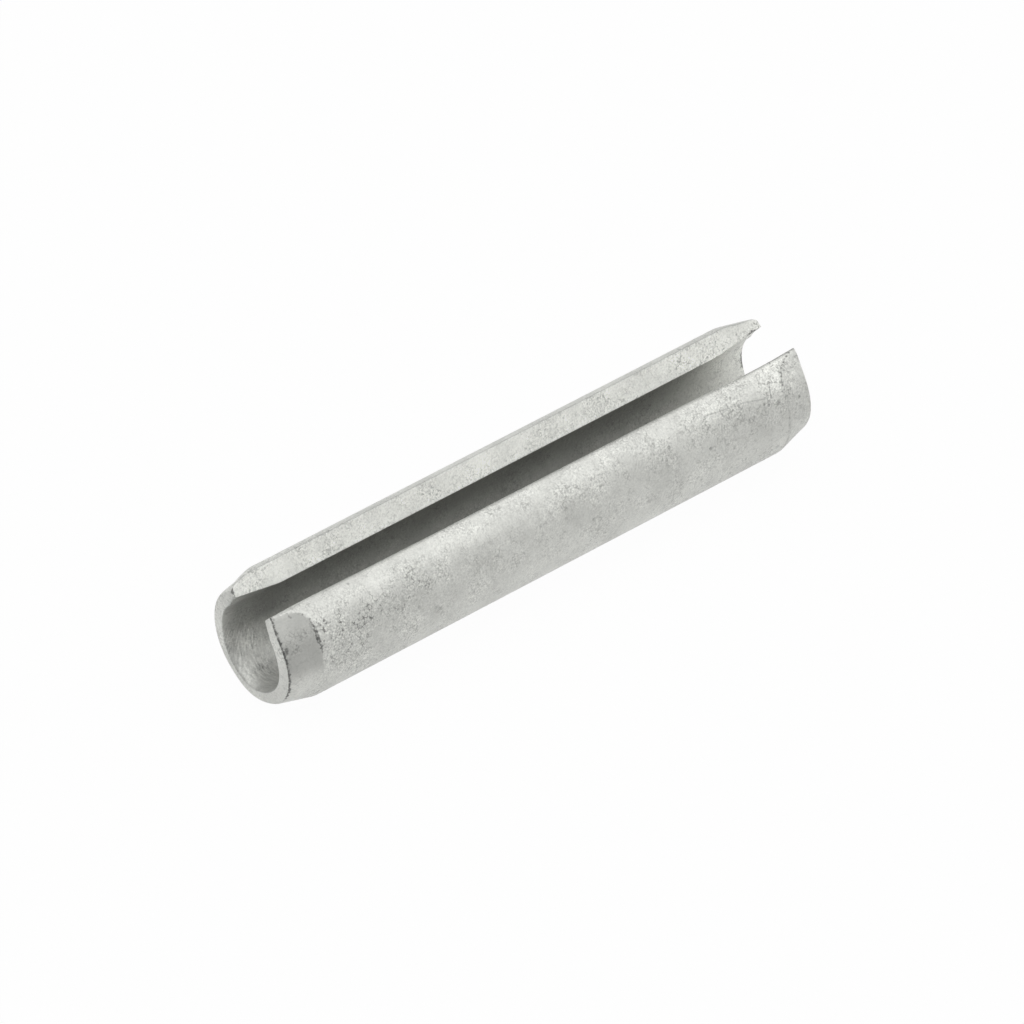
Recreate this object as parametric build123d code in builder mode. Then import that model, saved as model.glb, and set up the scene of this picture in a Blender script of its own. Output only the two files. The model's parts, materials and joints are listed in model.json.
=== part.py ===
"""Slotted spring pin (roll pin), 8 mm nominal by 40 mm long, in its free state.

One strip of spring steel is rolled into a C-shaped tube and both ends are ground to a lead-in
taper. The tube lies along X with its slot straight up (+Z), which is also how it comes to rest
on a flat surface. The origin is on the tube's axis, half-way along it. Millimetres throughout.
"""

import os
from math import asin, cos, degrees, hypot, sin

from build123d import *

# Driving dimensions
pin_length = 40.0  # over both end faces
outer_diameter = 8.5  # free size: the pin is driven into an 8 mm hole, which closes it
wall = 1.5  # thickness of the strip
slot_width = 4.0  # gap between the lips, at the outside of the roll
drawn_edge_round = 0.8  # outer edge of the -Y lip, which the shear drew down
burr_edge_round = 0.1  # outer edge of the +Y lip, where the shear broke out
bore_edge_round = 0.12  # both edges of the strip that end up in the bore
left_taper_length = 2.2
left_end_diameter = 7.5
right_taper_length = 2.1
right_end_diameter = 7.6
shoulder_round = 2.0  # where a taper runs into the body
rim_round = 0.2  # outer edge of an end face
mouth_flare = 0.15  # how far the bore opens at an end face, on the radius
mouth_flare_length = 0.8
lip_relief = 0.45  # how far each lip's bore side is dressed back at an end face
lip_relief_length = 3.2
relief_axis_height = 1.45  # of the dressing tool's axis, above the pin's

# Sizes that follow
outer_radius = outer_diameter / 2
bore_radius = outer_radius - wall
left_x = -pin_length / 2
right_x = pin_length / 2
slot_half_angle = asin(slot_width / outer_diameter)
roll_start = 90 + degrees(slot_half_angle)  # counted in the section, where +Z is at 90
roll_angle = 360 - 2 * degrees(slot_half_angle)


def relief_radius(lip_radius):
    """Distance from the dressing tool's axis to a lip's face, at a radius on that face."""
    across = lip_radius * sin(slot_half_angle)
    above = lip_radius * cos(slot_half_angle) - relief_axis_height
    return hypot(across, above)


with BuildPart() as spring_pin:
    # The rolled strip. It was cut square, so its edges stand along radii of the roll.
    with BuildSketch(Plane.YZ.offset(left_x)) as section:
        with BuildLine():
            outside = CenterArc((0, 0), outer_radius, roll_start, roll_angle)
            inside = CenterArc((0, 0), bore_radius, roll_start, roll_angle)
            Line(outside @ 0, inside @ 0)
            Line(outside @ 1, inside @ 1)
        make_face()
        fillet(section.vertices().group_by(Axis.Y)[0], bore_edge_round)
        fillet(section.vertices().group_by(Axis.Y)[-1].sort_by(Axis.X)[-1], burr_edge_round)
        fillet(section.vertices().sort_by(Axis.Y)[-1], drawn_edge_round)
    extrude(amount=pin_length)

    # The outline that both ends are ground to. The rounded edges of the lips run out into
    # the tapers, because the strip was rounded before its ends were ground.
    with BuildSketch(Plane.XZ):
        with BuildLine():
            ground = FilletPolyline(
                (left_x, 0),
                (left_x, left_end_diameter / 2),
                (left_x + left_taper_length, outer_radius),
                (right_x - right_taper_length, outer_radius),
                (right_x, right_end_diameter / 2),
                (right_x, 0),
                radius=[rim_round, shoulder_round, shoulder_round, rim_round],
            )
            Line(ground @ 1, ground @ 0)
        make_face()
    revolve(axis=Axis.X, mode=Mode.INTERSECT)

    # Two conical tools enter each end: one on the pin's axis opens the mouth of the bore, and
    # one above it, in the slot, dresses back the inner corners of the lips.
    mouth_tool = (0, bore_radius + mouth_flare, bore_radius, mouth_flare_length)
    lip_tool = (
        relief_axis_height,
        relief_radius(bore_radius + lip_relief),
        relief_radius(bore_radius),
        lip_relief_length,
    )
    for end_x, inwards in ((left_x, 1), (right_x, -1)):
        for axis_height, end_radius, inner_radius, depth in (mouth_tool, lip_tool):
            point_depth = depth * end_radius / (end_radius - inner_radius)
            with BuildSketch(Plane.XZ):
                with BuildLine():
                    Polyline(
                        (end_x, axis_height),
                        (end_x, axis_height + end_radius),
                        (end_x + inwards * point_depth, axis_height),
                        close=True,
                    )
                make_face()
            revolve(axis=Axis((0, 0, axis_height), (1, 0, 0)), mode=Mode.SUBTRACT)

spring_pin.part.label = "spring_pin"

os.makedirs("parts", exist_ok=True)
export_step(spring_pin.part, "parts/spring_pin.step")
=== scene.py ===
"""Looks of a slotted spring pin: a rolled strip of spring steel in a matt zinc finish.

The pin lies along X with its slot up. One mesh stands for the CAD solid: the surface of a slab of
lattice points, which is rolled up, ground, dressed and worn in the same order as the real strip.
Lengths are in millimetres, except where a comment says metres. Angles are counted round the pin
from +Z towards +Y, and the left end is the one at -X, which faces the camera.
"""

import json
from math import cos, radians, sin, tau
from types import SimpleNamespace

import bpy
import numpy as np
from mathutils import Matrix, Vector


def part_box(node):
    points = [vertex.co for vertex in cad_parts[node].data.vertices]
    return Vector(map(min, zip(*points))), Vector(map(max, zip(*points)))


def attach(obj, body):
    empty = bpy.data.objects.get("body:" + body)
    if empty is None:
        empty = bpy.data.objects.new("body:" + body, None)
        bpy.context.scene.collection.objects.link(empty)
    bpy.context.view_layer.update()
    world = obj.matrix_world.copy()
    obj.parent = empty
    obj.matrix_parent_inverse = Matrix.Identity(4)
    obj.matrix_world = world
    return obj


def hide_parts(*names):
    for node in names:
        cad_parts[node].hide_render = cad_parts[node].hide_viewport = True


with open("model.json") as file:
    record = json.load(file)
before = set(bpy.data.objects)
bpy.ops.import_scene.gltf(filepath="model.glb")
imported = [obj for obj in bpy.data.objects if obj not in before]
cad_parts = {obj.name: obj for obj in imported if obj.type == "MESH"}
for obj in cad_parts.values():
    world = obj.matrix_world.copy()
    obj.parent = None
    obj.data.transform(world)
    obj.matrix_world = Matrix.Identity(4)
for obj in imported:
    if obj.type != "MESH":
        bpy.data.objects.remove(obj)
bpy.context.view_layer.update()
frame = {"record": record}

MM = 0.001
MOUNTS = {mount["name"]: mount for mount in frame["record"]["mounts"]}
LOW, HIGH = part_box("spring_pin")

# Sizes of the CAD pin
OUTER_RADIUS = MOUNTS["body"]["dims"]["r_mm"]
BORE_RADIUS = MOUNTS["bore"]["dims"]["r_mm"]
LENGTH = (HIGH.x - LOW.x) / MM

# The lips: the near one is at -Y and the far one at +Y. The near one wanders a little, as
# (distance from the left end, angle of its face in degrees) tells.
NEAR_LIP = (
    (0, 24.6),
    (2, 25.0),
    (4, 25.7),
    (8, 26.3),
    (13, 26.8),
    (31, 27.2),
    (36, 28.7),
    (38.5, 28.4),
    (40, 27.2),
)
FAR_LIP_ANGLE = radians(28.1)
DRAWN_DEPTH = 0.5  # how far the shear drew the near lip's outer edge down
DRAWN_REACH = 0.43  # how quickly that fades round the pin

# The ground tapers, before they wander round the pin: the radius at the end face, and the length
LEFT_END_RADIUS = 3.64
LEFT_TAPER = 2.4
RIGHT_END_RADIUS = 3.82
RIGHT_TAPER = 2.1
GROUND_BLEND = 0.04  # how softly the tapers meet the rolled strip

# The bore's mouths, and the cone that dressed the lips' inner corners: how far its axis lies above
# the pin's, its radius at the end face and what it loses with each millimetre along the pin
MOUTH_FLARE = 0.05
MOUTH_REACH = 0.45
DRESSING_LIFT = 1.45
DRESSING_RADIUS = 2.04
DRESSING_SLOPE = 0.13
DRESSING_BLEND = 0.03

# Radii of the worn edges
RIM_ROUND = 0.19
MOUTH_ROUND = 0.06
NEAR_CORNER_ROUND = 0.08
FAR_CORNER_ROUND = 0.06
LIP_ROUND = 0.05
DRAWN_EDGE_ROUND = 0.1

# How deep the dark seams are sunk into the outside
FACE_SEAM_DEPTH = 0.03
BAND_SEAM_DEPTH = 0.02

# How pale the zinc is: its colour, and the shade of each kind of face against it
ZINC_COLOR = (0.73, 0.736, 0.698)
SKIN_TONE = 0.94
LIP_FACE_TONE = 1.24
END_FACE_TONE = 1.02
BORE_TONE = 0.9

# How strongly each part of the zinc's pattern changes its tone
GRAIN_SWING = 1.35
MOTTLE_SWING = 0.3
STROKE_SWING = 0.3
SCRAPED_SWING = 1.6  # what the scraped mouth of the bore adds to the strokes
THREAD_DARKNESS = 0.45
DOT_DARKNESS = 0.4
SEAM_DARKNESS = 0.75
GLINT_SHINE = 0.17
METAL_SHARE = 0.4
ROUGHNESS = 0.42
ROUGHNESS_SWING = 0.16
BUMP_DEPTH = 0.03  # height of the relief that the material shows without geometry

# Scratches and pits that catch the eye: from and to, each as (distance from the left end, angle in
# degrees), then the half width and how dark it is.
MARKS = (
    ((0.3, -25.9), (0.3, -25.9), 0.1, 0.5),
    ((0.35, -29.3), (0.35, -29.3), 0.09, 0.5),
    ((1.2, -33.5), (1.25, -35.5), 0.07, 0.4),
    ((2.15, -43.4), (2.15, -43.4), 0.1, 0.35),
    ((2.6, -51.7), (2.6, -51.7), 0.12, 0.5),
    ((3.0, -52.6), (3.3, -53.4), 0.08, 0.5),
    ((0.2, -58.5), (0.15, -62.0), 0.12, 0.7),
    ((5.6, -32.5), (5.6, -32.5), 0.1, 0.4),
    ((16.8, -34.4), (16.8, -34.4), 0.14, 0.35),
    ((22.6, -80.6), (22.6, -80.6), 0.14, 0.35),
    ((29.0, -54.7), (29.0, -54.7), 0.14, 0.45),
    ((31.8, -72.3), (31.8, -72.3), 0.13, 0.55),
    ((32.3, -45.8), (35.1, -50.9), 0.05, 0.3),
    ((35.1, -50.9), (36.6, -56.2), 0.05, 0.3),
    ((36.3, -59.5), (36.3, -59.5), 0.12, 0.7),
    ((36.6, -61.8), (36.6, -61.8), 0.12, 0.6),
    ((37.3, -64.1), (37.3, -64.1), 0.16, 0.6),
    ((37.2, -44.6), (36.9, -57.5), 0.06, 0.5),
    ((38.6, -41.8), (38.6, -41.8), 0.12, 0.5),
    ((39.0, -69.3), (39.0, -69.3), 0.15, 0.5),
)

# Camera, its place in metres
CAMERA_PLACE = Vector((-0.25121, -0.31284, 0.34098))
CAMERA_AIM = (-0.228, -0.106)  # how far to the right of the pin's middle it aims, and how far above
CAMERA_LENS = 309.0

# Floor and backdrop, in metres
FLOOR_Z = LOW.z
FLOOR_HALF = 1.5
BACKDROP_HEIGHT = 0.16
PAPER_GREY = 0.7
PAPER_GLOW = 0.97  # the share of pure white in the paper that the camera and gloss see

# The sky: how far its brightest part leans towards the camera's side, how narrow that part is, how
# much it adds, and the strength everywhere else
SKY_LEAN = radians(9)
SKY_FOCUS = 2.5
SKY_PEAK = 2.1
SKY_BASE = 0.1


# ---------------------------------------------------------------- small maths


def smooth(low, high, value):
    """0 at low and beyond, 1 at high and beyond, and a soft step between."""
    t = np.clip((value - low) / (high - low), 0, 1)
    return t * t * (3 - 2 * t)


def soft_min(a, b, reach):
    """The smaller of two lengths, rounded where they come within reach of each other."""
    h = np.clip(reach - np.abs(a - b), 0, None) / reach
    return np.minimum(a, b) - h * h * reach / 4


def soft_max(a, b, reach):
    return -soft_min(-a, -b, reach)


def hump(value, centre, width):
    """A smooth hump of height 1."""
    return np.exp(-(((value - centre) / width) ** 2))


def hump_at(angle, centre, width):
    """The same round the pin, with its centre and width in degrees."""
    turn = angle - radians(centre)
    return hump(np.arctan2(np.sin(turn), np.cos(turn)), 0, radians(width))


def spaced(length, spacing):
    """Stations from 0 to length whose spacing follows a function of place."""
    fine = np.linspace(0, length, 8001)
    middle = (fine[1:] + fine[:-1]) / 2
    count = np.concatenate([[0], np.cumsum(np.diff(fine) / spacing(middle))])
    stations = int(round(count[-1]))
    return np.interp(np.linspace(0, count[-1], stations + 1), count, fine)


# ---------------------------------------------------------------- the pin's shape


def near_lip_angle(left):
    stations, angles = np.array(NEAR_LIP).T
    return np.radians(np.interp(left, stations, angles))


def left_ground(left, angle):
    """Radius of the taper at the left end. It was ground off centre, and shallow at the far lip."""
    by_far_lip = hump_at(angle, 28, 12)
    off_centre = 0.14 * hump_at(angle, -80, 45) + 0.13 * hump_at(angle, 177, 22) + 0.11 * by_far_lip
    reach = LEFT_TAPER - 0.17 * hump_at(angle, -65, 40) - 0.95 * by_far_lip
    share = 1 - left / reach
    share = np.sign(share) * np.abs(share) ** (1 + 0.6 * by_far_lip)
    hollow = 0.07 * hump(left, 1.15, 0.4) * hump_at(angle, 55, 20)
    return OUTER_RADIUS - (OUTER_RADIUS - LEFT_END_RADIUS - off_centre) * share - hollow


def right_ground(right, angle):
    end = RIGHT_END_RADIUS - 0.2 * hump_at(angle, -130, 25)
    return OUTER_RADIUS - (OUTER_RADIUS - end) * (1 - right / RIGHT_TAPER)


def outer_radius(left, angle, from_near):
    """Outside of the strip: rolled, its near lip drawn down, then ground at both ends.

    The second value is what the grinding took off, and below 0 where it took nothing.
    """
    right = LENGTH - left
    depth = DRAWN_DEPTH + 0.28 * hump(left, 0, 2) - 0.08 * hump(right, 0, 2.5)
    reach = DRAWN_REACH + 0.3 * hump(right, 0, 2.5)
    rolled = OUTER_RADIUS - depth * np.exp(-from_near / reach)
    ground = np.minimum(left_ground(left, angle), right_ground(right, angle))
    return soft_min(rolled, ground, GROUND_BLEND), rolled - ground


def bore_radius(left, angle):
    """Inside of the strip: the bore, its opened mouths and the dressed corners of the lips."""
    radius = np.full_like(left, BORE_RADIUS)
    for from_end, low_flare in ((left, 0.34), (LENGTH - left, 0.0)):
        flare = MOUTH_FLARE + low_flare * hump_at(angle, 163, 42)
        mouth = BORE_RADIUS + flare * np.exp(-from_end / MOUTH_REACH)
        cone = np.clip(DRESSING_RADIUS - DRESSING_SLOPE * from_end, 0, None)
        inside = np.clip(cone**2 - (DRESSING_LIFT * np.sin(angle)) ** 2, 0, None)
        dressed = DRESSING_LIFT * np.cos(angle) + np.sqrt(inside)
        radius = np.maximum(radius, soft_max(mouth, dressed, DRESSING_BLEND))
    return radius


def lattice():
    """Stations along the pin, round it from the near lip to the far one, and through the wall."""
    width = (tau - 2 * FAR_LIP_ANGLE) * OUTER_RADIUS

    def along_spacing(left):
        from_end = np.minimum(left, LENGTH - left)
        return 0.055 + 0.18 * smooth(1.2, 7, from_end) - 0.022 * hump(left, 0.1, 0.12)

    def around_spacing(from_near):
        by_near_lip = 0.075 * hump(from_near, 3.4, 3.2) + 0.09 * np.exp(-from_near / 0.5)
        by_far_lip = 0.13 * np.exp(-(width - from_near) / 0.3)
        return 0.195 - by_near_lip - by_far_lip

    along = spaced(LENGTH, along_spacing)
    around = spaced(width, around_spacing) / width
    through = np.array([0, 0.035, 0.08, 0.15, 0.28, 0.44, 0.6, 0.75, 0.86, 0.93, 0.97, 1.0])
    return along, around, through


def slab(counts):
    """The lattice points on a slab's surface, by their three indices, and the quads between."""
    index = -np.ones(counts, int)
    surface = np.zeros(counts, bool)
    for axis in range(3):
        np.moveaxis(surface, axis, 0)[[0, -1]] = True
    places = np.argwhere(surface)
    index[surface] = np.arange(len(places))
    quads = []
    for axis, flipped in ((0, False), (1, True), (2, False)):
        for side in (0, -1):
            patch = np.moveaxis(index, axis, 0)[side]
            a, b = patch[:-1, :-1].ravel(), patch[1:, :-1].ravel()
            c, d = patch[1:, 1:].ravel(), patch[:-1, 1:].ravel()
            order = (a, b, c, d) if (side == 0) != flipped else (a, d, c, b)
            quads.append(np.stack(order, 1))
    return places.T, np.concatenate(quads)


def rolled_slab():
    """Where each point of the slab's surface lies on the rolled strip, and the quads between."""
    along, around, through = lattice()
    (i, j, k), quads = slab((len(along), len(around), len(through)))
    at = SimpleNamespace(left=along[i], right=LENGTH - along[i], through=through[k])
    near_angle = near_lip_angle(at.left)
    turn = tau - near_angle - FAR_LIP_ANGLE
    at.angle = -near_angle - around[j] * turn
    at.degrees = np.degrees(at.angle)  # from the near lip at about -25 down to the far one at -332
    at.past_top = at.degrees % 360  # the same angle, from 0 to 360
    at.from_near = around[j] * turn * OUTER_RADIUS
    at.from_far = (1 - around[j]) * turn * OUTER_RADIUS
    at.from_end = np.minimum(at.left, at.right)
    at.by_left = at.left < LENGTH / 2
    at.near_side = smooth(-22, -28, at.degrees) * smooth(-128, -112, at.degrees)
    at.on_outside = k == len(through) - 1
    at.on_bore = k == 0
    at.on_lip = (j == 0) | (j == len(around) - 1)
    return at, quads


def ground_band(at):
    """1 on the ground bands where they show on the near side, and 0 elsewhere."""
    in_sight = smooth(-98, -78, at.degrees) * smooth(-22, -26, at.degrees)
    return at.on_outside * smooth(0, 0.03, at.cut_off) * in_sight


def outside_seams(at):
    """Strength of the seams round the left end face and along the edges of the ground bands.

    The last value tells where along the right band's edge its seam can be.
    """
    face_seam = at.by_left * at.near_side * hump(at.left, 0.07, 0.11)
    left_edge = at.by_left * (hump_at(at.angle, -61, 11) + 0.45 * hump_at(at.angle, -46, 24))
    right_edge = smooth(-24, -32, at.degrees) * (0.4 + 0.5 * smooth(-52, -40, at.degrees))
    right_edge = ~at.by_left * right_edge * smooth(-140, -110, at.degrees)
    edges = hump(at.cut_off, 0, 0.035) * left_edge + hump(at.cut_off, 0, 0.02) * right_edge
    return face_seam, edges * smooth(0.2, 0.5, at.from_end), right_edge


def rounded(a, b, radius):
    """How far points move inwards, from each of two faces, when the edge between them is rounded.

    a and b are the points' depths below the two faces.
    """
    depth = np.minimum(a, b)
    fade = np.clip(1 - depth / radius, 0, None)
    turn = np.pi / 4 * (1 + np.clip((a - b) / radius, -1, 1))
    shift_a = np.clip(radius - radius * np.cos(turn) - (a - depth), 0, None) * fade
    shift_b = np.clip(radius - radius * np.sin(turn) - (b - depth), 0, None) * fade
    return shift_a, shift_b


def edge_shifts(at):
    """How far the rounding of all edges moves points along the pin, round it and outwards."""
    far_tip = at.by_left * hump_at(at.angle, 27, 6)
    depths = {
        "left": at.left,
        "right": at.right,
        "near": at.from_near,
        "far": at.from_far,
        "bore": at.above_bore,
        "top": at.below_top,
    }
    edges = [
        ("near", "top", DRAWN_EDGE_ROUND),
        ("near", "bore", LIP_ROUND),
        ("far", "top", LIP_ROUND),
        ("far", "bore", LIP_ROUND),
    ]
    for end in ("left", "right"):
        edges += [
            (end, "top", RIM_ROUND - 0.12 * at.near_side * at.by_left),
            (end, "bore", MOUTH_ROUND + 0.22 * far_tip),
            (end, "near", NEAR_CORNER_ROUND),
            (end, "far", FAR_CORNER_ROUND + 0.08 * far_tip),
        ]
    moved = dict.fromkeys(depths, 0)
    for one, other, radius in edges:
        from_one, from_other = rounded(depths[one], depths[other], radius)
        moved[one] = np.maximum(moved[one], from_one)
        moved[other] = np.maximum(moved[other], from_other)
    along = moved["left"] - moved["right"]
    around = moved["far"] - moved["near"]
    outward = moved["bore"] - moved["top"]
    return along, around, outward


def shear_shift(at, radius):
    """How far points lie along X from a square end: each lip stands out or back a little."""
    far_tip = (0.42 - 0.33 * np.clip(radius - 3.2, 0, 1)) * hump_at(at.angle, 27, 9)
    near_tip = 0.25 * hump_at(at.angle, -27, 16) + 0.07 * hump_at(at.angle, -115, 25)
    near_corner = 0.26 * hump_at(at.angle, -24, 12) * np.clip((radius - 3.1) / 0.5, 0, 1)
    bulge = 0.1 * hump_at(at.angle, -72, 38)
    at_right_end = (far_tip + near_tip) * smooth(1.2, 0, at.right)
    return at_right_end + (near_corner - bulge) * smooth(1.0, 0, at.left)


def bore_tone(at):
    """How pale the bore is: painted shade deep in, and painted light making it palest opposite the
    slot and towards the right end.
    """
    # painted shade far in, and painted light where light through the slot falls opposite it
    far_in = smooth(0.3, 7, at.from_end)
    lit_from_slot = smooth(80, 130, at.past_top) * smooth(290, 238, at.past_top)
    under_slot = 1 + (0.62 * lit_from_slot - 0.34) * far_in
    # painted light towards the right end, and along the far lip's edge there
    by_right_end = 1 + 0.2 * smooth(7, 0, at.right) + 0.15 * smooth(2.5, 0, at.right)
    by_far_lip = 1 + 0.15 * np.exp(-at.from_far / 0.4) * smooth(4, 2.5, at.right)
    # at the left mouth: painted shade under the far lip and low down, and painted light in two
    # patches low in the mouth
    above_middle = smooth(119, 103, at.past_top)
    left_mouth = 1 - 0.42 * above_middle * smooth(-0.6, 1.2, at.left) * smooth(7, 2.5, at.left)
    floor_shade = 0.27 * (1 - 0.5 * smooth(1, 2.5, at.left)) * smooth(7, 4, at.left)
    left_mouth -= (1 - above_middle) * floor_shade
    left_mouth += 0.32 * hump(at.left, 0.1, 0.4) * hump(at.past_top, 172, 14)
    left_mouth += 0.33 * hump(at.left, 1.4, 0.9) * hump(at.past_top, 127, 18)
    return (BORE_TONE - 0.3 * far_in) * under_slot * by_right_end * by_far_lip * left_mouth


def skin_tone(at):
    """How pale the outside is, with painted light and shade: darkest on the ground band at the left
    end.
    """
    # painted dark reflection on the ground bands, strongest at the left end
    band_reflection_drop = np.where(at.by_left, 0.265 + 0.1 * smooth(-64, -40, at.degrees), 0.04)
    band = 1 - at.ground * band_reflection_drop
    # painted shade right at the near lip's edge away from the left end, a painted highlight just
    # below it and a little painted shade below that
    lip_edge_shade = 1 - 0.5 * np.exp(-at.from_near / 0.12) * smooth(1.0, 6, at.left)
    lip_shine = 1 + 0.18 * hump(at.from_near, 0.27, 0.17) - 0.06 * hump(at.from_near, 0.7, 0.3)
    # painted light and shade round the pin: lighter on the far side, darker low on the near flank,
    # lighter on the front and on the right end's front
    far_side_light = 1 + 0.1 * hump_at(at.angle, 40, 30)
    flank_shade = 1 - 0.12 * hump_at(at.angle, -76, 18)
    front_light = 1 + 0.06 * hump_at(at.angle, -50, 9)
    right_front_light = 1 + 0.15 * smooth(5, 2, at.right) * hump_at(at.angle, -44, 14)
    # painted shade along the edge of the right ground band, beside its seam
    band_edge_shade = 1 - 0.16 * hump(at.cut_off, 0, 0.025) * np.clip(2 * at.right_edge, 0, 1)
    tone = SKIN_TONE * band * lip_edge_shade * lip_shine * far_side_light * flank_shade * front_light
    return tone * right_front_light * band_edge_shade


def tone_mask(at):
    """How pale each part is against the zinc's colour, painted light and shade included."""
    end_shade = 0.16 * hump_at(at.angle, 40, 25) + 0.07 * hump_at(at.angle, 180, 60)
    end_tone = END_FACE_TONE - at.by_left * end_shade
    faces = [at.on_outside, at.on_bore, at.on_lip]
    tone = np.select(faces, [skin_tone(at), bore_tone(at), LIP_FACE_TONE], end_tone)
    sharp_edge = np.exp(-(at.from_far + at.below_top) / 0.05) * smooth(0.3, 0.8, at.from_end)
    return tone * (1 - 0.45 * sharp_edge)


def seam_mask(at):
    """Dark lines: the seams of the outside, and others on the lips' edges and on the rims."""
    lip_line = 0.6 * np.exp(-at.from_near / 0.05) * smooth(5.5, 3, at.right)
    left_tip_line = 1.5 * at.by_left * hump(at.from_far + at.left, 0, 0.11)
    right_tip_line = 1.8 * hump(at.from_far + at.above_bore, 0, 0.14) * hump(at.right, 0.6, 0.25)
    rim_line = 0.8 * at.by_left * hump(at.left + at.below_top, 0, 0.1) * hump_at(at.angle, 95, 60)
    mouth_line = 1.8 * hump(at.right + at.above_bore, 0, 0.17) * hump_at(at.angle, 96, 13)
    on_skin = at.on_outside * (at.face_seam + at.band_seam + lip_line)
    return np.clip(on_skin + left_tip_line + right_tip_line + rim_line + mouth_line, 0, 1)


def coarse_mask(at):
    """How strong the speckle is."""
    upper = 0.2 * smooth(-74, -58, at.degrees)
    by_left_end = smooth(17, 5, at.left) * (0.1 + 0.25 * smooth(-40, -58, at.degrees))
    quiet_top = 1 - 0.4 * smooth(-50, -38, at.degrees) * smooth(11, 7, at.left)
    smoother_band = 1 - 0.55 * at.ground * at.by_left
    skin = (0.75 + upper + by_left_end) * quiet_top * smoother_band
    return np.select([at.on_outside, at.on_lip], [skin, 1.0], 0.7)


def pin_surface():
    """Points, quads and the masks that the material reads."""
    at, quads = rolled_slab()
    outside, at.cut_off = outer_radius(at.left, at.angle, at.from_near)
    at.ground = ground_band(at)
    at.face_seam, at.band_seam, at.right_edge = outside_seams(at)
    outside = outside - FACE_SEAM_DEPTH * at.face_seam - BAND_SEAM_DEPTH * at.band_seam
    inside = bore_radius(at.left, at.angle)
    radius = inside + (outside - inside) * at.through
    at.above_bore = radius - inside
    at.below_top = outside - radius
    along, around, outward = edge_shifts(at)
    x = at.left + along + shear_shift(at, radius) - LENGTH / 2
    angle = at.angle + around / radius
    radius = radius + outward
    points = np.stack([x, radius * np.sin(angle), radius * np.cos(angle)], 1)

    coarse = coarse_mask(at)
    by_left_end = 0.6 * smooth(12, 4, at.left) * hump_at(at.angle, -60, 17)
    by_right_end = 0.25 * smooth(14, 4, at.right)
    masks = {
        "tone": tone_mask(at),
        "metal": np.where(at.on_lip, 0.0, METAL_SHARE),
        "seam": seam_mask(at),
        "coarse": coarse,
        "pitted": (0.6 + by_left_end + by_right_end) * coarse,
        "scraped": at.on_bore * smooth(3.6, 1.2, at.left) * smooth(70, 135, at.past_top),
    }
    return points, quads, masks


def make_pin():
    points, quads, masks = pin_surface()
    mesh = bpy.data.meshes.new("pin_body")
    mesh.from_pydata((points * MM).tolist(), [], quads.tolist())
    mesh.update()
    mesh.shade_smooth()
    for name, values in masks.items():
        attribute = mesh.attributes.new(name, "FLOAT", "POINT")
        attribute.data.foreach_set("value", values.astype(np.float32))
    pin = bpy.data.objects.new("pin_body", mesh)
    bpy.context.scene.collection.objects.link(pin)
    return pin


# ---------------------------------------------------------------- materials


class Tree:
    """Short ways to put nodes into a node tree. An input is a value or another node's socket."""

    def __init__(self, owner):
        owner.use_nodes = True
        self.nodes = owner.node_tree.nodes
        self.links = owner.node_tree.links

    def put(self, kind, inputs=(), **settings):
        node = self.nodes.new(kind)
        for name, value in settings.items():
            setattr(node, name, value)
        for key, value in dict(inputs).items():
            if isinstance(value, bpy.types.NodeSocket):
                self.links.new(value, node.inputs[key])
            else:
                node.inputs[key].default_value = value
        return node

    def math(self, operation, *values):
        return self.put("ShaderNodeMath", enumerate(values), operation=operation).outputs[0]

    def multiply(self, *values):
        product = values[0]
        for value in values[1:]:
            product = self.math("MULTIPLY", product, value)
        return product

    def vector(self, operation, first, second):
        """Vector arithmetic. The second value is the factor where the operation is to scale."""
        key = "Scale" if operation == "SCALE" else 1
        node = self.put("ShaderNodeVectorMath", {0: first, key: second}, operation=operation)
        return node.outputs["Value" if operation in ("DOT_PRODUCT", "DISTANCE") else "Vector"]

    def step(self, value, low, high, bottom=0.0, top=1.0):
        """A soft step from bottom, where value is low, to top, where it is high."""
        inputs = {"Value": value, "From Min": low, "From Max": high, "To Min": bottom}
        inputs["To Max"] = top
        node = self.put("ShaderNodeMapRange", inputs, interpolation_type="SMOOTHSTEP")
        return node.outputs["Result"]

    def mask(self, name):
        return self.put("ShaderNodeAttribute", attribute_name=name).outputs["Fac"]

    def noise(self, place, size, seed, detail=2.0, roughness=0.5):
        """Noise from 0 to 1 with features about size millimetres across."""
        inputs = {"Vector": place, "W": seed, "Scale": 1 / size, "Detail": detail}
        inputs["Roughness"] = roughness
        return self.put("ShaderNodeTexNoise", inputs, noise_dimensions="4D").outputs["Fac"]

    def mark(self, place, start, end, half_width):
        """1 on a scratch from start to end, and 0 past its half width."""
        course = end - start
        from_start = self.vector("SUBTRACT", place, start)
        share = self.vector("DOT_PRODUCT", from_start, course / max(course.length_squared, 1e-9))
        share = self.put("ShaderNodeClamp", {"Value": share}).outputs[0]
        distance = self.vector("DISTANCE", from_start, self.vector("SCALE", course, share))
        return self.step(distance, 0.4 * half_width, 1.3 * half_width, 1.0, 0.0)


def on_skin(left, degrees):
    """A place on the pin's outside."""
    angle = radians(degrees)
    from_near = (-angle - near_lip_angle(left)) * OUTER_RADIUS
    radius, _ = outer_radius(left, angle, from_near)
    return Vector((left - LENGTH / 2, radius * sin(angle), radius * cos(angle)))


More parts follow.
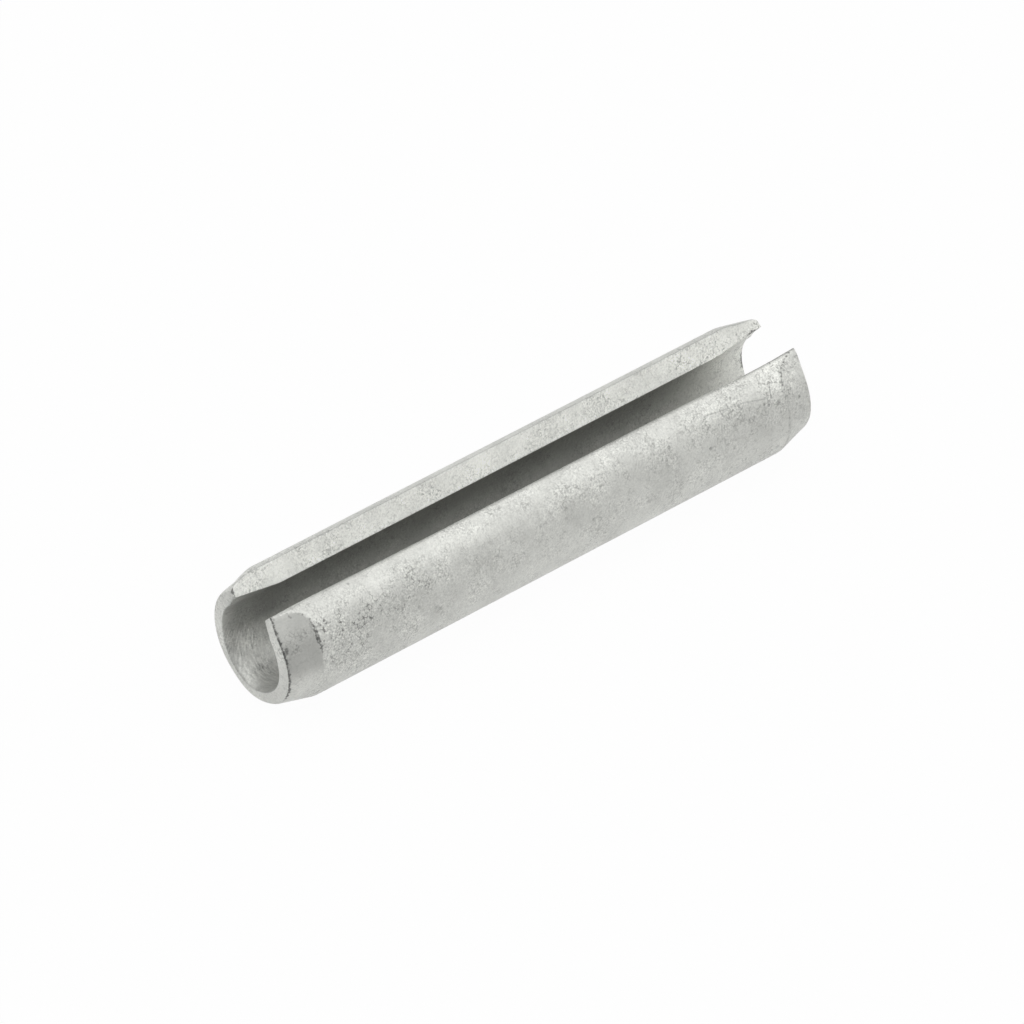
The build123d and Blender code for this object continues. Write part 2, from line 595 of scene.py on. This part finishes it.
def dark_pits(tree, place, patches, grain):
    """Dark pits: broken threads and dots all over, and the marks that catch the eye."""
    thread_noise = tree.noise(place, size=0.42, seed=51.0, detail=1.5)
    thread = tree.math("ABSOLUTE", tree.math("SUBTRACT", thread_noise, 0.5))
    thread = tree.step(thread, 0.005, 0.04, 1.0, 0.0)
    broken = tree.step(tree.noise(place, size=0.4, seed=57.0, detail=1.0), 0.44, 0.56)
    threads = tree.multiply(thread, broken, THREAD_DARKNESS)
    dots = tree.step(tree.noise(place, size=0.22, seed=21.0, detail=1.0), 0.67, 0.75)
    dots = tree.multiply(dots, DOT_DARKNESS)
    pits = tree.multiply(tree.math("MAXIMUM", threads, dots), patches, tree.mask("pitted"))
    for start, end, half_width, dark in MARKS:
        mark = tree.mark(place, on_skin(*start), on_skin(*end), half_width)
        ragged = tree.step(grain, 0.35, 0.6, dark, 0.6 * dark)
        pits = tree.math("MAXIMUM", pits, tree.multiply(mark, ragged))
    return pits


def scrape_strokes(tree, place):
    """Noise drawn out into strokes round the pin, strongest in the scraped mouth of the bore."""
    slanted = tree.vector("DOT_PRODUCT", place, (1.0, 0.0, -0.6))
    across = tree.put("ShaderNodeSeparateXYZ", {0: place}).outputs
    squeezed = {0: tree.multiply(slanted, 4.0), 1: across["Y"], 2: across["Z"]}
    stroke_place = tree.put("ShaderNodeCombineXYZ", squeezed).outputs[0]
    return tree.noise(stroke_place, size=0.5, seed=17.0, detail=1.0)


def dark_seam(tree, place):
    """0 off the seams and 1 in the middle of one, with a ragged border."""
    strength = tree.mask("seam")
    ragged = tree.math("MULTIPLY_ADD", tree.noise(place, size=0.17, seed=41.0), 2.4, -1.2)
    seam = tree.step(tree.math("ADD", strength, ragged), 0.35, 1.05)
    return tree.math("MINIMUM", seam, tree.multiply(strength, 3.0))


def make_zinc():
    material = bpy.data.materials.new("matt_zinc")
    tree = Tree(material)
    shader = tree.nodes["Principled BSDF"]
    coordinates = tree.put("ShaderNodeTexCoord").outputs["Object"]
    place = tree.vector("SCALE", coordinates, 1 / MM)

    blotches = tree.noise(place, size=1.8, seed=1.0, detail=3.0)
    mottle = tree.noise(place, size=0.45, seed=5.0, roughness=0.6)
    grain = tree.noise(place, size=0.12, seed=9.0, roughness=0.6)
    strokes = scrape_strokes(tree, place)
    patches = tree.step(tree.noise(place, size=1.7, seed=13.0, detail=3.0), 0.38, 0.62, 0.45, 1.2)
    coarse = tree.mask("coarse")
    speckle = tree.multiply(coarse, patches)
    pits = dark_pits(tree, place, patches, grain)
    glints = tree.step(tree.noise(place, size=0.12, seed=33.0, detail=1.0), 0.64, 0.74)
    glints = tree.multiply(glints, speckle)
    seam = dark_seam(tree, place)

    swing = tree.multiply(tree.math("SUBTRACT", grain, 0.5), GRAIN_SWING)
    stroke_swing = tree.math("MULTIPLY_ADD", tree.mask("scraped"), SCRAPED_SWING, STROKE_SWING)
    swing = tree.math("MULTIPLY_ADD", tree.math("SUBTRACT", strokes, 0.5), stroke_swing, swing)
    swing = tree.math("MULTIPLY_ADD", tree.math("SUBTRACT", mottle, 0.5), MOTTLE_SWING, swing)
    # the tone mask brings the zinc's tone together with painted light and shade
    tone = tree.multiply(tree.mask("tone"), tree.step(blotches, 0.25, 0.75, 0.91, 1.08))
    tone = tree.multiply(tone, tree.math("MULTIPLY_ADD", swing, speckle, 1.0))
    tone = tree.math("MULTIPLY_ADD", glints, GLINT_SHINE, tone)
    tone = tree.multiply(tone, tree.math("SUBTRACT", 1.0, pits))
    tone = tree.multiply(tone, tree.math("MULTIPLY_ADD", seam, -SEAM_DARKNESS, 1.0))

    height = tree.math("MULTIPLY_ADD", grain, 0.6, mottle)
    height = tree.multiply(tree.math("MULTIPLY_ADD", pits, -0.5, height), coarse)
    relief = {"Height": height, "Distance": BUMP_DEPTH * MM, "Strength": 1.0}
    bump = tree.put("ShaderNodeBump", relief)
    color = tree.vector("SCALE", ZINC_COLOR, tone)
    rough = tree.math("MULTIPLY_ADD", mottle, ROUGHNESS_SWING, ROUGHNESS)

    tree.links.new(color, shader.inputs["Base Color"])
    tree.links.new(rough, shader.inputs["Roughness"])
    tree.links.new(tree.mask("metal"), shader.inputs["Metallic"])
    tree.links.new(bump.outputs[0], shader.inputs["Normal"])
    return material


# ---------------------------------------------------------------- stage, light and camera


def make_floor():
    """A pale floor with a low backdrop all round, near white to the camera and in gloss.

    The floor keeps the pin's shadow.
    """
    corners = ((-1, -1), (1, -1), (1, 1), (-1, 1))
    heights = (FLOOR_Z, FLOOR_Z + BACKDROP_HEIGHT)
    points = [(x * FLOOR_HALF, y * FLOOR_HALF, z) for z in heights for x, y in corners]
    walls = [(side, (side + 1) % 4, (side + 1) % 4 + 4, side + 4) for side in range(4)]
    mesh = bpy.data.meshes.new("floor")
    mesh.from_pydata(points, [], [(0, 1, 2, 3), *walls])
    floor = bpy.data.objects.new("floor", mesh)
    bpy.context.scene.collection.objects.link(floor)

    material = bpy.data.materials.new("white_paper")
    tree = Tree(material)
    tree.nodes.clear()
    paper = tree.put("ShaderNodeBsdfDiffuse", {"Color": (PAPER_GREY, PAPER_GREY, PAPER_GREY, 1)})
    glow = tree.put("ShaderNodeEmission")
    path = tree.put("ShaderNodeLightPath")
    seen = tree.math("MAXIMUM", path.outputs["Is Camera Ray"], path.outputs["Is Glossy Ray"])
    seen = tree.math("MAXIMUM", seen, path.outputs["Is Transmission Ray"])
    parts = {0: tree.multiply(seen, PAPER_GLOW), 1: paper.outputs[0], 2: glow.outputs[0]}
    mixed = tree.put("ShaderNodeMixShader", parts)
    tree.put("ShaderNodeOutputMaterial", {"Surface": mixed.outputs[0]})
    mesh.materials.append(material)


def make_light():
    """A soft white sky, brightest overhead."""
    world = bpy.data.worlds.new("studio")
    bpy.context.scene.world = world
    tree = Tree(world)
    direction = tree.put("ShaderNodeTexCoord").outputs["Generated"]
    height = tree.vector("DOT_PRODUCT", direction, (0.0, -sin(SKY_LEAN), cos(SKY_LEAN)))
    height = tree.math("POWER", tree.math("MAXIMUM", height, 0.0), SKY_FOCUS)
    strength = tree.math("MULTIPLY_ADD", height, SKY_PEAK, SKY_BASE)
    background = tree.nodes["Background"]
    background.inputs["Color"].default_value = (1, 1, 1, 1)
    tree.links.new(strength, background.inputs["Strength"])


def make_camera():
    camera = bpy.data.objects.new("camera", bpy.data.cameras.new("camera"))
    bpy.context.scene.collection.objects.link(camera)
    ahead = -CAMERA_PLACE.normalized()
    rightward = ahead.cross(Vector((0, 0, 1))).normalized()
    upward = rightward.cross(ahead)
    aim = (CAMERA_AIM[0] * rightward + CAMERA_AIM[1] * upward) * MM
    camera.location = CAMERA_PLACE
    camera.rotation_euler = (aim - CAMERA_PLACE).to_track_quat("-Z", "Y").to_euler()
    camera.data.lens = CAMERA_LENS
    camera.data.sensor_width = 36
    camera.data.clip_start = 0.01
    bpy.context.scene.camera = camera


pin = make_pin()
pin.data.materials.append(make_zinc())
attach(pin, "root")
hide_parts("spring_pin")
make_floor()
make_light()
make_camera()
bpy.context.scene.view_settings.view_transform = "Standard"
